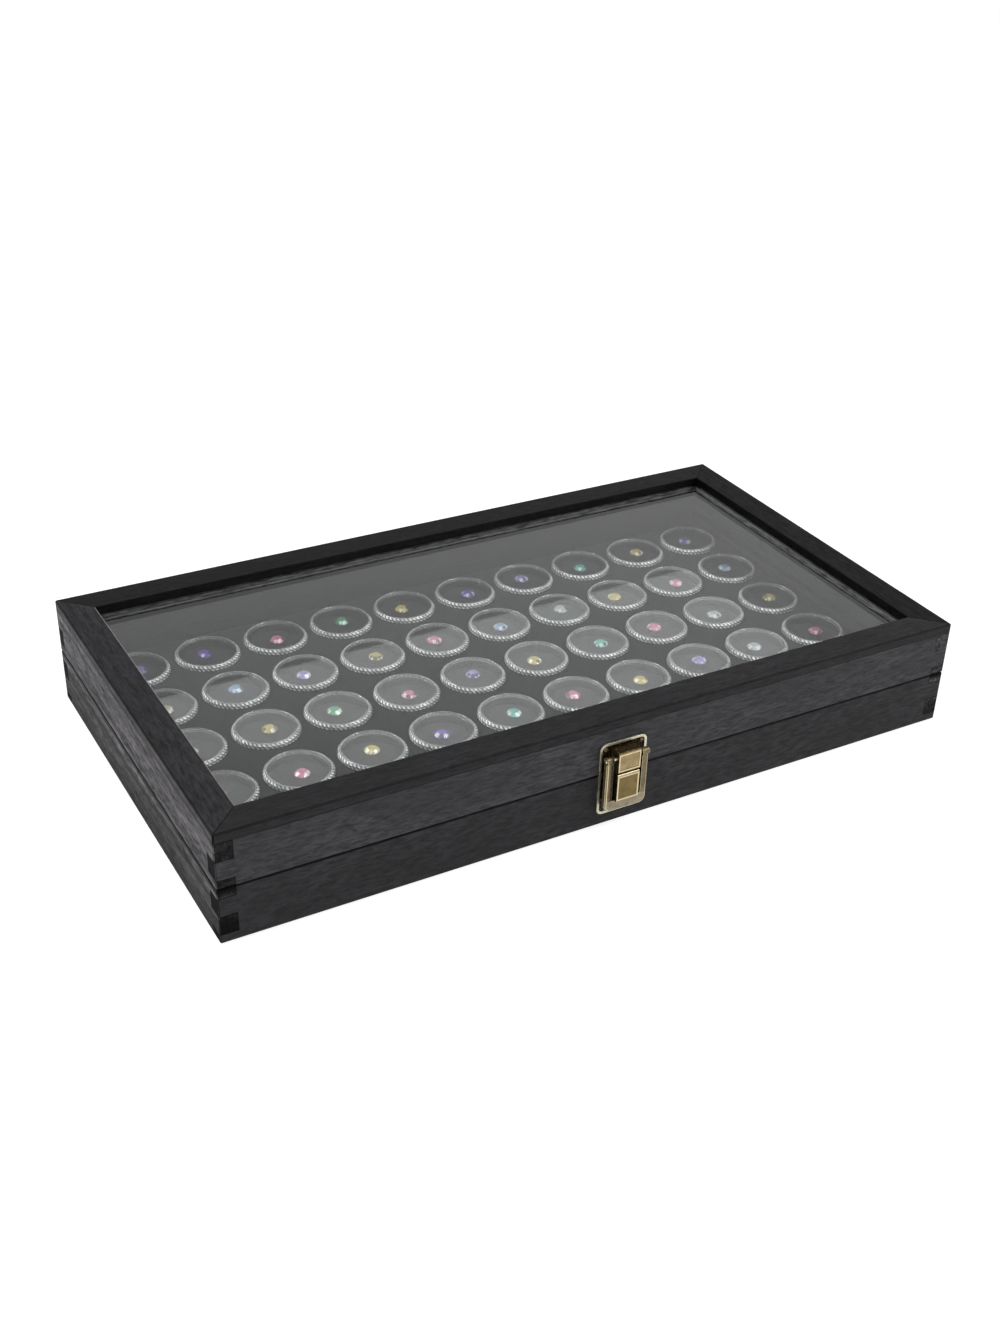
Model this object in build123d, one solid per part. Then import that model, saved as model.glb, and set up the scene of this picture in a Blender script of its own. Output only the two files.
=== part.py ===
"""Wooden jewelry display case: a shallow box with a glazed lid, a foam insert of gem jars and a flap latch.

Millimetres. +X runs along the case, +Y to its back, +Z up. The origin is the middle of the underside.
"""

import math
import os

from build123d import *

# Case, outside
CASE_LENGTH = 374.65
CASE_DEPTH = 209.55
CASE_HEIGHT = 54.0
SEAM_Z = 27.0  # the box is glued up closed and then sawn apart here
EDGE_EASE = 0.5  # sanded bevel on the outer edges, which also draws the seam as a dark line
BOARD = 8.0  # thickness of the walls
FINGER = 9.0  # height of one finger of the corner joints
BOTTOM_THICKNESS = 3.0
BOTTOM_REBATE = 4.0  # how far the bottom panel reaches under the walls

# Lid frame and glass
FRAME_THICKNESS = 4.5
FRAME_WIDTH = 15.0
GLASS_THICKNESS = 3.0
GLASS_PLAY = 0.5  # room round the pane
BEAD_HEIGHT = 3.0  # strip under the pane

# Foam insert and gem jars
INSERT_HEIGHT = 18.0
INSERT_PLAY = 0.6
WELL_FLOOR = 1.5
WELL_PLAY = 0.3
JAR_DIAMETER = 32.0
JAR_GAP_X = 3.5
JAR_GAP_Y = 5.8
JAR_SIDES = 8  # the rounds of jars, wells and pads have few sides, because they repeat so often
CUP_HEIGHT = 17.3
CUP_WALL = 1.2
CUP_FLOOR = 1.2
JAR_LID_THICKNESS = 1.6
JAR_LID_OVERHANG = 0.4
PAD_PLAY = 0.3
GEM_DIAMETER = 7.2
GEM_CROWN = 1.4
GEM_CROWN_SLOPE = 45
GEM_PAVILION = 2.9
GEM_SIDES = 6
GEM_PLAY = 0.1  # under the jar lid
GEM_DRIFT = 1.6  # how far off centre a gem lies
GOLDEN_ANGLE = 137.5
GEM_ROWS = (  # from the back row to the front one; each letter is a colour below
    "LPKGYPLTYP",
    "YBLYKBCYKB",
    "GYGKLYTKCY",
    "KKYPTKYLCK",
    "CTPBYGLKTY",
)
GEM_COLOURS = {
    "P": "purple",
    "L": "lavender",
    "K": "pink",
    "G": "green",
    "Y": "yellow",
    "B": "blue",
    "T": "teal",
    "C": "clear",
}

# Hinges
HINGE_X = 118.0
HINGE_LENGTH = 32.0
LEAF_WIDTH = 6.4
LEAF_THICKNESS = 1.2
HINGE_PIN_RADIUS = 1.0
HINGE_RUNNING = 0.05
BARREL_STANDOFF = 0.2  # between the barrel and the back of the case
BARREL_SIDES = 12
KNUCKLE_GAP = 0.15
MIDDLE_KNUCKLE = 12.0
PIN_END = 0.4
SCREW_SPACING = 20.0
SCREW_INSET = 3.2  # from the back of the case to the middle of a screw
SCREW_RADIUS = 0.8
SCREW_HEAD_RADIUS = 1.7
SCREW_LENGTH = 8.0
FIXING_PLAY = 0.02  # round a screw or nail
FIXING_SIDES = 8  # screws and nails are small and many, so they have few sides too

# Latch
LATCH_X = 0.0
PLATE_RIM = 1.0  # thickness of a plate at its raised rim
PLATE_FIELD = 0.6  # and inside the rim
RIM_WIDTH = 1.2
PLATE_CORNER = 3.0
PLATE_MARGIN = 1.2  # plate beside the lever
SPLIT_RISE = 2.4  # the plates part this far above the seam
PLATE_GAP = 0.4
PLATE_ABOVE_BLOCK = 2.8
PLATE_BELOW_LEVER = 3.2
BLOCK_WIDTH = 11.2
BLOCK_HEIGHT = 10.7
BLOCK_OUT = 6.6  # how far the block stands out of the case
BLOCK_ROUND = 1.0
LATCH_PIN_RADIUS = 0.8
LATCH_PIN_RISE = 6.8  # above the underside of the block
LATCH_PIN_OUT = 4.1
LATCH_RUNNING = 0.06
LATCH_PIN_END = 0.4
ARM_GAP = 1.8
ARM_WIDTH = 3.4
ARM_THICKNESS = 2.5
ARM_EASE = 0.7
EYE_RADIUS = 1.75
LEVER_DROP = 27.0  # from the pin to the bottom of the lever
LEVER_CORNER = 3.4
BAR_HEIGHT = 5.8
TONGUE_GAP = 0.7
TONGUE_SHEET = 0.8
STUD_RADIUS = 2.0
STUD_TAPER = 15
STUD_BELOW_SPLIT = 10.0
STUD_CLEAR = 0.2  # between the stud and the back of the lever
NAIL_RADIUS = 0.6
NAIL_HEAD_RADIUS = 1.1
NAIL_HEAD = 0.5
NAIL_LENGTH = 6.0
NAIL_INSET = 2.7  # from the edges of a plate
KEEPER_NAIL_RISE = 8.0  # above the lower edge of the keeper plate, so that the lever's arms hide them

# Sizes that follow
HALF_L = CASE_LENGTH / 2
HALF_D = CASE_DEPTH / 2
INNER_L = CASE_LENGTH - 2 * BOARD
INNER_D = CASE_DEPTH - 2 * BOARD
WALL_TOP = CASE_HEIGHT - FRAME_THICKNESS
GLASS_BOTTOM = WALL_TOP - GLASS_THICKNESS
BEAD_BOTTOM = GLASS_BOTTOM - BEAD_HEIGHT
BEAD_WIDTH = FRAME_WIDTH - BOARD
INSERT_TOP = BOTTOM_THICKNESS + INSERT_HEIGHT
WELL_Z = BOTTOM_THICKNESS + WELL_FLOOR
CUP_TOP = WELL_Z + CUP_HEIGHT
CUP_RADIUS = JAR_DIAMETER / 2 - JAR_LID_OVERHANG
PITCH_X = JAR_DIAMETER + JAR_GAP_X
PITCH_Y = JAR_DIAMETER + JAR_GAP_Y
BARREL_RADIUS = HINGE_PIN_RADIUS + LEAF_THICKNESS
HINGE_Y = HALF_D + BARREL_RADIUS + BARREL_STANDOFF
SPLIT_Z = SEAM_Z + SPLIT_RISE
BLOCK_Z = SPLIT_Z + PLATE_GAP
LATCH_PIN_Z = BLOCK_Z + LATCH_PIN_RISE
LATCH_PIN_Y = -HALF_D - LATCH_PIN_OUT
LEVER_BACK = LATCH_PIN_OUT - ARM_THICKNESS / 2
LEVER_WIDTH = BLOCK_WIDTH + 2 * (ARM_GAP + ARM_WIDTH)
LEVER_BOTTOM = LATCH_PIN_Z - LEVER_DROP
PLATE_WIDTH = LEVER_WIDTH + 2 * PLATE_MARGIN
KEEPER_BOTTOM = LEVER_BOTTOM - PLATE_BELOW_LEVER
TONGUE_TOP = BLOCK_Z - TONGUE_GAP


def slab(x, y, z):
    """A box from three pairs of limits."""
    sizes = [high - low for low, high in (x, y, z)]
    middles = [(low + high) / 2 for low, high in (x, y, z)]
    return Pos(*middles) * Box(*sizes)


def save(name, *solids):
    """One file for each node; like pieces share a node as separate solids."""
    pieces = [solid for shape in solids for solid in shape.solids()]
    export_step(Compound(children=pieces), f"parts/{name}.step")


def eased_block(z_low, z_high):
    """The outside of the case between two heights, with its edges bevelled."""
    block = slab((-HALF_L, HALF_L), (-HALF_D, HALF_D), (z_low, z_high))
    return chamfer(block.edges(), EDGE_EASE)


def mitred_frame(half_l, half_d, width, z_low, z_high):
    """Four strips round a rectangle, cut at 45 degrees where they meet: front, back, left, right."""
    outer = [(-half_l, -half_d), (half_l, -half_d), (half_l, half_d), (-half_l, half_d)]
    inner = [(math.copysign(abs(x) - width, x), math.copysign(abs(y) - width, y)) for x, y in outer]
    strips = []
    for first, last in ((0, 1), (2, 3), (3, 0), (1, 2)):
        outline = Polyline(outer[first], outer[last], inner[last], inner[first], close=True)
        strips.append(Pos(0, 0, z_low) * extrude(make_face(outline), z_high - z_low))
    return strips


def corner_fingers():
    """The fingers of the left and right walls, where they pass through the front and back ones."""
    fingers = []
    low = FINGER / 2
    while low < WALL_TOP:
        high = min(low + FINGER, WALL_TOP)
        for side_x in (-1, 1):
            for side_y in (-1, 1):
                middle = (side_x * (HALF_L - BOARD / 2), side_y * (HALF_D - BOARD / 2), (low + high) / 2)
                fingers.append(Pos(*middle) * Box(BOARD, BOARD, high - low))
        low += 2 * FINGER
    return fingers


def uncut_walls():
    """The four walls of the closed box with their finger joints, before it is sawn apart."""
    height = (0, WALL_TOP)
    fingers = corner_fingers()
    long_walls = {
        "front": slab((-HALF_L, HALF_L), (-HALF_D, -HALF_D + BOARD), height) - fingers,
        "back": slab((-HALF_L, HALF_L), (HALF_D - BOARD, HALF_D), height) - fingers,
    }
    inside = (-HALF_D + BOARD, HALF_D - BOARD)
    left_fingers = [finger for finger in fingers if finger.center().X < 0]
    right_fingers = [finger for finger in fingers if finger.center().X > 0]
    side_walls = {
        "left": slab((-HALF_L, -HALF_L + BOARD), inside, height) + left_fingers,
        "right": slab((HALF_L - BOARD, HALF_L), inside, height) + right_fingers,
    }
    return {**long_walls, **side_walls}


def screw_places():
    """Where the hinge screws go, in plan."""
    sides = [(side * HINGE_X, offset * SCREW_SPACING / 2) for side in (-1, 1) for offset in (-1, 1)]
    return [(x + dx, HALF_D - SCREW_INSET) for x, dx in sides]


def plate_nails(z):
    """Where a plate's two nails go: one on each side at the height given."""
    x = PLATE_WIDTH / 2 - NAIL_INSET
    return [(LATCH_X + side * x, z) for side in (-1, 1)]


def facing_front(outline, y_back, y_front, x, z, taper=0):
    """A flat outline drawn out towards the front from y_back to y_front."""
    return Pos(x, y_back, z) * Rot(X=90) * extrude(outline, y_back - y_front, taper=taper)


def along_x(outline, x_low, x_high, y, z):
    """A flat outline drawn out along the case from x_low to x_high."""
    return Pos(x_low, y, z) * Rot(Y=90) * extrude(outline, x_high - x_low)


def rod_along_x(radius, x_low, x_high, y, z):
    """A round rod along the case, for a pin or a bore."""
    return along_x(Circle(radius), x_low, x_high, y, z)


def latch_pin_rod(radius, half):
    """A rod on the lever's axis that reaches half to each side of the latch's middle."""
    return rod_along_x(radius, LATCH_X - half, LATCH_X + half, LATCH_PIN_Y, LATCH_PIN_Z)


# The hinges: a leaf is one solid with its knuckles
def hinge_leaves(up):
    """Both hinges' leaves on one side of the seam: up is 1 for the lid and -1 for the base."""
    half = HINGE_LENGTH / 2
    middle = MIDDLE_KNUCKLE / 2
    if up > 0:
        knuckles = [(-half, -middle - KNUCKLE_GAP), (middle + KNUCKLE_GAP, half)]
    else:
        knuckles = [(-middle, middle)]
    z = sorted((SEAM_Z, SEAM_Z + up * LEAF_THICKNESS))
    barrel = RegularPolygon(BARREL_RADIUS, BARREL_SIDES)
    leaves = []
    for hinge_x in (-HINGE_X, HINGE_X):
        leaf = slab((hinge_x - half, hinge_x + half), (HALF_D - LEAF_WIDTH, HALF_D), z)
        for low, high in knuckles:
            leaf += slab((hinge_x + low, hinge_x + high), (HALF_D, HINGE_Y), z)
            leaf += along_x(barrel, hinge_x + low, hinge_x + high, HINGE_Y, SEAM_Z)
        bore = HINGE_PIN_RADIUS + HINGE_RUNNING
        leaf -= rod_along_x(bore, hinge_x - half, hinge_x + half, HINGE_Y, SEAM_Z)
        leaves.append(leaf)
    return leaves


def hinge_screw(x, y, up, grow=0.0):
    """A countersunk screw whose head is flush with the leaf at the seam. grow makes the tool for its hole."""
    rim = RegularPolygon(SCREW_HEAD_RADIUS + grow, FIXING_SIDES)
    neck = Pos(0, 0, LEAF_THICKNESS) * RegularPolygon(SCREW_RADIUS + grow, FIXING_SIDES)
    screw = loft([rim.face(), neck.face()], ruled=True) + extrude(neck, SCREW_LENGTH - LEAF_THICKNESS)
    return Pos(x, y, SEAM_Z) * (screw if up > 0 else Rot(X=180) * screw)


# The latch
def rimmed_plate(z_low, z_high, rounded_end):
    """A pressed plate with a raised rim. rounded_end is 1 for round top corners, -1 for round bottom ones."""
    x = (LATCH_X - PLATE_WIDTH / 2, LATCH_X + PLATE_WIDTH / 2)
    blank = slab(x, (-HALF_D - PLATE_RIM, -HALF_D), (z_low, z_high))
    corners = blank.edges().filter_by(Axis.Y).sort_by(Axis.Z)
    blank = fillet(corners[-2:] if rounded_end > 0 else corners[:2], PLATE_CORNER)
    inner_z = (z_low + (RIM_WIDTH if rounded_end < 0 else 0), z_high - (RIM_WIDTH if rounded_end > 0 else 0))
    inner_x = (x[0] + RIM_WIDTH, x[1] - RIM_WIDTH)
    field = slab(inner_x, (-HALF_D - PLATE_RIM, -HALF_D - PLATE_FIELD), inner_z)
    field_corners = field.edges().filter_by(Axis.Y).sort_by(Axis.Z)
    field = fillet(field_corners[-2:] if rounded_end > 0 else field_corners[:2], PLATE_CORNER - RIM_WIDTH)
    return blank - field


def lid_plate():
    """The plate on the lid, with the block that carries the lever's pin."""
    block_top = BLOCK_Z + BLOCK_HEIGHT
    half = BLOCK_WIDTH / 2
    block = slab(
        (LATCH_X - half, LATCH_X + half), (-HALF_D - BLOCK_OUT, -HALF_D - PLATE_FIELD), (BLOCK_Z, block_top)
    )
    block = fillet(block.edges().filter_by(Axis.X).sort_by(Axis.Y)[:2], BLOCK_ROUND)
    plate = rimmed_plate(BLOCK_Z, block_top + PLATE_ABOVE_BLOCK, 1) + block
    return plate - latch_pin_rod(LATCH_PIN_RADIUS + FIXING_PLAY, PLATE_WIDTH / 2)


def base_plate():
    """The plate on the base, with the stud that the lever snaps over."""
    stud_out = LEVER_BACK - STUD_CLEAR
    stud_z = SPLIT_Z - STUD_BELOW_SPLIT
    outline = RegularPolygon(STUD_RADIUS, BARREL_SIDES)
    stud = facing_front(outline, -HALF_D - PLATE_FIELD, -HALF_D - stud_out, LATCH_X, stud_z, STUD_TAPER)
    return rimmed_plate(KEEPER_BOTTOM, SPLIT_Z, -1) + stud


def lever():
    """The flap: two arms with eyes, a bar across the bottom and a hollow tongue between them."""
    y = (-HALF_D - LEVER_BACK - ARM_THICKNESS, -HALF_D - LEVER_BACK)
    half = LEVER_WIDTH / 2
    inner = half - ARM_WIDTH
    bar_top = LEVER_BOTTOM + BAR_HEIGHT
    outside = slab((LATCH_X - half, LATCH_X + half), y, (LEVER_BOTTOM, LATCH_PIN_Z))
    low_corners = outside.edges().filter_by(Axis.Y).sort_by(Axis.Z)[:2]
    outside = fillet(low_corners, LEVER_CORNER)
    outline = outside.faces().sort_by(Axis.Y)[0].edges()
    top_edge = outline.sort_by(Axis.Z)[-1]
    outside = chamfer([edge for edge in outline if edge != top_edge], ARM_EASE)
    opening = slab((LATCH_X - inner, LATCH_X + inner), y, (bar_top, LATCH_PIN_Z + EYE_RADIUS))
    body = outside - opening
    for side in (-1, 1):
        low, high = sorted((side * inner, side * half))
        body += rod_along_x(EYE_RADIUS, LATCH_X + low, LATCH_X + high, LATCH_PIN_Y, LATCH_PIN_Z)
    body += tongue(bar_top)
    return body - latch_pin_rod(LATCH_PIN_RADIUS + LATCH_RUNNING, PLATE_WIDTH / 2)


def tongue(bar_top):
    """The hollow tongue, open at its back, which stands as proud as the block above it."""
    half = BLOCK_WIDTH / 2
    low = bar_top - TONGUE_SHEET
    front = -HALF_D - BLOCK_OUT
    shell = slab((LATCH_X - half, LATCH_X + half), (front, -HALF_D - LEVER_BACK), (low, TONGUE_TOP))
    shell = fillet(shell.edges().filter_by(Axis.X).sort_by(Axis.Y)[:2], BLOCK_ROUND)
    hollow_x = (LATCH_X - half + TONGUE_SHEET, LATCH_X + half - TONGUE_SHEET)
    hollow_y = (front + TONGUE_SHEET, -HALF_D - LEVER_BACK)
    return shell - slab(hollow_x, hollow_y, (bar_top, TONGUE_TOP - TONGUE_SHEET))


def nail(x, z, plate=PLATE_FIELD, grow=0.0):
    """A round-headed nail; its shank ends in the wood. grow makes the tool for its hole."""
    shank = RegularPolygon(NAIL_RADIUS + grow, FIXING_SIDES)
    shank = facing_front(shank, -HALF_D + NAIL_LENGTH, -HALF_D - plate, x, z)
    head = RegularPolygon(NAIL_HEAD_RADIUS, FIXING_SIDES)
    head = facing_front(head, -HALF_D - plate, -HALF_D - plate - NAIL_HEAD, x, z)
    return shank if grow else head + shank


# The insert and its jars
def jar_places():
    """The middles of the jars, row by row from the back, as many as fit."""
    columns = int((INNER_L - 2 * INSERT_PLAY - JAR_DIAMETER) // PITCH_X) + 1
    rows = int((INNER_D - 2 * INSERT_PLAY - JAR_DIAMETER) // PITCH_Y) + 1
    return [
        ((column - (columns - 1) / 2) * PITCH_X, ((rows - 1) / 2 - row) * PITCH_Y, row, column)
        for row in range(rows)
        for column in range(columns)
    ]


def round_of_jar(radius):
    """The outline of a jar's round; radius reaches its corners."""
    return RegularPolygon(radius, JAR_SIDES, rotation=180 / JAR_SIDES)


def at_jars(shape, z):
    """A copy of a shape at every jar's place."""
    return [Pos(x, y, z) * shape for x, y, _, _ in jar_places()]


def foam_insert():
    """The foam block: a sheet with round wells on a thin floor."""
    outline = Rectangle(INNER_L - 2 * INSERT_PLAY, INNER_D - 2 * INSERT_PLAY)
    wells = [Pos(x, y) * round_of_jar(CUP_RADIUS + WELL_PLAY) for x, y, _, _ in jar_places()]
    web = Pos(0, 0, WELL_Z) * extrude(outline - wells, INSERT_TOP - WELL_Z)
    floor = Pos(0, 0, BOTTOM_THICKNESS) * extrude(outline, WELL_FLOOR)
    return floor + web


def jar_cup():
    """An open cup standing on the origin."""
    inside = Pos(0, 0, CUP_FLOOR) * extrude(round_of_jar(CUP_RADIUS - CUP_WALL), CUP_HEIGHT - CUP_FLOOR)
    return extrude(round_of_jar(CUP_RADIUS), CUP_HEIGHT) - inside


def gem():
    """A cut stone with its point down at the origin."""
    girdle = Pos(0, 0, GEM_PAVILION) * RegularPolygon(GEM_DIAMETER / 2, GEM_SIDES)
    pavilion = loft([Vertex(0, 0, 0), girdle.face()], ruled=True)
    return pavilion + extrude(girdle, GEM_CROWN, taper=GEM_CROWN_SLOPE)


def gems_by_colour(pad_top):
    """Each jar's stone, lying a little off centre and turned, sorted by colour."""
    stones = {}
    stone = gem()
    for index, (x, y, row, column) in enumerate(jar_places()):
        letters = GEM_ROWS[row % len(GEM_ROWS)]
        angle = index * GOLDEN_ANGLE
        dx = GEM_DRIFT * math.cos(math.radians(angle))
        dy = GEM_DRIFT * math.sin(math.radians(angle))
        placed = Pos(x + dx, y + dy, pad_top) * Rot(Z=angle) * stone
        stones.setdefault(GEM_COLOURS[letters[column % len(letters)]], []).append(placed)
    return stones


def build_base():
    """The lower part of the sawn box, with its bottom, hinge halves and keeper plate."""
    walls = uncut_walls()
    base_block = eased_block(0, SEAM_Z)
    panel_half_l = INNER_L / 2 + BOTTOM_REBATE
    panel_half_d = INNER_D / 2 + BOTTOM_REBATE
    panel = slab((-panel_half_l, panel_half_l), (-panel_half_d, panel_half_d), (0, BOTTOM_THICKNESS))
    save("base_bottom_panel", panel)

    leaves = hinge_leaves(-1)
    screws = [hinge_screw(x, y, -1) for x, y in screw_places()]
    screw_holes = [hinge_screw(x, y, -1, FIXING_PLAY) for x, y in screw_places()]
    save("hinge_base_leaves", *[leaf - screw_holes for leaf in leaves])
    save("hinge_base_screws", *screws)
    half = HINGE_LENGTH / 2 + PIN_END
    pins = [
        rod_along_x(HINGE_PIN_RADIUS, x - half, x + half, HINGE_Y, SEAM_Z) for x in (-HINGE_X, HINGE_X)
    ]
    save("hinge_pins", *pins)

    nails = plate_nails(KEEPER_BOTTOM + KEEPER_NAIL_RISE)
    nail_holes = [nail(x, z, grow=FIXING_PLAY) for x, z in nails]
    save("latch_base_plate", base_plate() - nail_holes)
    save("latch_base_nails", *[nail(x, z) for x, z in nails])

    for side, wall in walls.items():
        board = (wall & base_block) - panel
        if side == "back":
            board = board - mortises(-1) - screw_holes
        if side == "front":
            board = board - nail_holes
        save(f"base_{side}_board", board)


def mortises(up):
    """The pockets in the back wall's edge that take the hinge leaves."""
    half = HINGE_LENGTH / 2
    z = sorted((SEAM_Z, SEAM_Z + up * LEAF_THICKNESS))
    return [slab((x - half, x + half), (HALF_D - LEAF_WIDTH, HALF_D), z) for x in (-HINGE_X, HINGE_X)]


def build_lid():
    """The upper part of the sawn box, with its frame, pane, beads, hinge halves and latch."""
    walls = uncut_walls()
    lid_block = eased_block(SEAM_Z, CASE_HEIGHT)
    rails = mitred_frame(HALF_L, HALF_D, FRAME_WIDTH, WALL_TOP, CASE_HEIGHT)
    beads = mitred_frame(INNER_L / 2, INNER_D / 2, BEAD_WIDTH, BEAD_BOTTOM, GLASS_BOTTOM)
    for side, rail, bead in zip(("front", "back", "left", "right"), rails, beads):
        save(f"lid_{side}_rail", rail & lid_block)
        save(f"glass_{side}_bead", bead)
    pane_l = INNER_L / 2 - GLASS_PLAY
    pane_d = INNER_D / 2 - GLASS_PLAY
    save("glass_pane", slab((-pane_l, pane_l), (-pane_d, pane_d), (GLASS_BOTTOM, WALL_TOP)))

    screws = [hinge_screw(x, y, 1) for x, y in screw_places()]
    screw_holes = [hinge_screw(x, y, 1, FIXING_PLAY) for x, y in screw_places()]
    save("hinge_lid_leaves", *[leaf - screw_holes for leaf in hinge_leaves(1)])
    save("hinge_lid_screws", *screws)

    nails = plate_nails(BLOCK_Z + BLOCK_HEIGHT + PLATE_ABOVE_BLOCK - NAIL_INSET)
    nail_holes = [nail(x, z, grow=FIXING_PLAY) for x, z in nails]
    save("latch_lid_plate", lid_plate() - nail_holes)
    save("latch_lid_nails", *[nail(x, z) for x, z in nails])
    save("latch_pin", latch_pin_rod(LATCH_PIN_RADIUS, LEVER_WIDTH / 2 + LATCH_PIN_END))
    save("latch_lever", lever())

    for side, wall in walls.items():
        board = wall & lid_block
        if side == "back":
            board = board - mortises(1) - screw_holes
        if side == "front":
            board = board - nail_holes
        save(f"lid_{side}_board", board)


def build_insert():
    """The insert with its jars, the pads in them and the stones on the pads."""
    save("foam_insert", foam_insert())
    save("jar_cups", *at_jars(jar_cup(), WELL_Z))
    save("jar_lids", *at_jars(extrude(round_of_jar(JAR_DIAMETER / 2), JAR_LID_THICKNESS), CUP_TOP))
    pad_height = CUP_HEIGHT - CUP_FLOOR - GEM_PAVILION - GEM_CROWN - GEM_PLAY
    pad = extrude(round_of_jar(CUP_RADIUS - CUP_WALL - PAD_PLAY), pad_height)
    pad_z = WELL_Z + CUP_FLOOR
    save("jar_pads", *at_jars(pad, pad_z))
    for colour, stones in gems_by_colour(pad_z + pad_height).items():
        save(f"gems_{colour}", *stones)


os.makedirs("parts", exist_ok=True)
build_base()
build_lid()
build_insert()
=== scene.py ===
# %% [markdown]
# # A glazed display case for gem jars
#
# The real object is a shallow box of black-stained wood. Its lid is a mitred frame round a pane of glass,
# and under the glass fifty clear jars stand in a foam block, each with one cut stone on a black foam pad. A
# brass flap latch closes the front and two small hinges carry the lid.
#
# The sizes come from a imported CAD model, so this file only has to make the surfaces. It works in metres, in
# the model's own frame: +X runs along the case, +Y to its back, +Z up, with zero at the middle of the
# underside.

# %% Load the model
import math

import bmesh
import bpy
from mathutils import Matrix, Vector


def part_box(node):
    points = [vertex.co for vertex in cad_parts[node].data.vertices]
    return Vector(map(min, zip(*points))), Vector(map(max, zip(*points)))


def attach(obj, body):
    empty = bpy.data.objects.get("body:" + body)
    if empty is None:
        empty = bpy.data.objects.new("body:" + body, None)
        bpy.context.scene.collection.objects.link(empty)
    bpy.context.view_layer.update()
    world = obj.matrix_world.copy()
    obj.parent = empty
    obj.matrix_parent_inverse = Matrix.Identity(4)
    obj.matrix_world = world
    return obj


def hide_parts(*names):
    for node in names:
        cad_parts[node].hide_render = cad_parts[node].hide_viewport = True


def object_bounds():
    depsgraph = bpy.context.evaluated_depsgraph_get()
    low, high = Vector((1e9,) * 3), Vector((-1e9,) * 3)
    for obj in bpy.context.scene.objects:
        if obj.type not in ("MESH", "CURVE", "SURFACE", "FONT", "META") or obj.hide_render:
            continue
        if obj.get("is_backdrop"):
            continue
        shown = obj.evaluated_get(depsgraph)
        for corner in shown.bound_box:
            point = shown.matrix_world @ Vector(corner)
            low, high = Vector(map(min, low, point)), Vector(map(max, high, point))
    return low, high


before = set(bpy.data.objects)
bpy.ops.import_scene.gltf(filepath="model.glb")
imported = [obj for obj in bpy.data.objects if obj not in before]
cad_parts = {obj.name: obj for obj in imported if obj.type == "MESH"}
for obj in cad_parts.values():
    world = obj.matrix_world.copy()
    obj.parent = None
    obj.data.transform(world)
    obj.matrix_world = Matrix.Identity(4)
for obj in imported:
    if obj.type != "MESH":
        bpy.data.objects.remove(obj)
cad_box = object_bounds()
scene = bpy.context.scene
MM = 0.001
MERGE, TOUCH = 0.001 * MM, 0.01 * MM
QUARTER_TURN = math.tau / 4
print("nodes:", len(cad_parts))

# %% [markdown]
# ## The camera
#
# The photograph was taken from the front left and above. Its camera was worked out from seven corners of
# the box, so it is set here by numbers: where it stands, which way it looks, how far it leans, and how long
# its lens is. The picture was cropped a little off centre, which is what the two small shifts say. A camera
# that is aimed by eye would be quicker to set up, but then no edge would land where it lands in the
# photograph.

# %% Camera
IMAGE_WIDTH, IMAGE_HEIGHT = 1000, 1333
FOCAL_PIXELS = 1645.9
MIDDLE_X, MIDDLE_Y = 532.155, 697.923
CAMERA_PLACE = (-0.345284, -0.597927, 0.434582)

azimuth, elevation, lean = -0.543766, 0.555262, 0.0427753
back = Vector((
    math.sin(azimuth) * math.cos(elevation),
    -math.cos(azimuth) * math.cos(elevation),
    math.sin(elevation),
))
right = (-back).cross(Vector((0, 0, 1))).normalized()
up = right.cross(-back)
tilt_right = math.cos(lean) * right + math.sin(lean) * up
tilt_up = -math.sin(lean) * right + math.cos(lean) * up

lens = bpy.data.cameras.new("camera")
lens.sensor_width = 36
lens.lens = FOCAL_PIXELS / IMAGE_HEIGHT * lens.sensor_width
lens.shift_x = (IMAGE_WIDTH / 2 - MIDDLE_X) / IMAGE_HEIGHT
lens.shift_y = (MIDDLE_Y - IMAGE_HEIGHT / 2) / IMAGE_HEIGHT
lens.clip_start = 0.01
camera = bpy.data.objects.new("camera", lens)
scene.collection.objects.link(camera)
turn = Matrix((tilt_right, tilt_up, back)).transposed().to_4x4()
camera.matrix_world = Matrix.Translation(CAMERA_PLACE) @ turn
scene.camera = camera
print("lens:", round(lens.lens, 2), "mm, shifts:", round(lens.shift_x, 4), round(lens.shift_y, 4))

# %% [markdown]
# ## Nodes in few words
#
# Every finish below is a small tree of nodes. The helpers here add a node, set or link its inputs by name
# and hand back the output that is wanted, so that a finish reads like a recipe: a noise, stretched, turned
# into a colour.

# %% Helpers for finishes
def put(tree, target, value):
    """Links an output of another node to an input, or sets the input, a colour by its three levels."""
    if isinstance(value, bpy.types.NodeSocket):
        tree.links.new(value, target)
    else:
        target.default_value = (*value, 1) if target.type == "RGBA" else value


def put_all(tree, node, **inputs):
    """The same for several inputs of a node, named with _ for spaces."""
    for name, value in inputs.items():
        put(tree, node.inputs[name.replace("_", " ")], value)


def add(tree, kind, wanted=0, settings=None, **inputs):
    """A new node with its settings and inputs. Returns one of its outputs."""
    node = tree.nodes.new(f"ShaderNode{kind}")
    for name, value in (settings or {}).items():
        setattr(node, name, value)
    put_all(tree, node, **inputs)
    return node.outputs[wanted]


def maths(tree, operation, *values):
    """One sum on numbers, such as ADD or DIVIDE."""
    node = tree.nodes.new("ShaderNodeMath")
    node.operation = operation
    for target, value in zip(node.inputs, values):
        put(tree, target, value)
    return node.outputs[0]


def times(tree, first, second):
    return maths(tree, "MULTIPLY", first, second)


def blended(tree, share, first, second):
    """The first colour where share is 0 and the second where it is 1."""
    node = tree.nodes.new("ShaderNodeMix")
    node.data_type = "RGBA"
    put(tree, node.inputs[0], share)
    put(tree, node.inputs[6], first)
    put(tree, node.inputs[7], second)
    return node.outputs[2]


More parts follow.
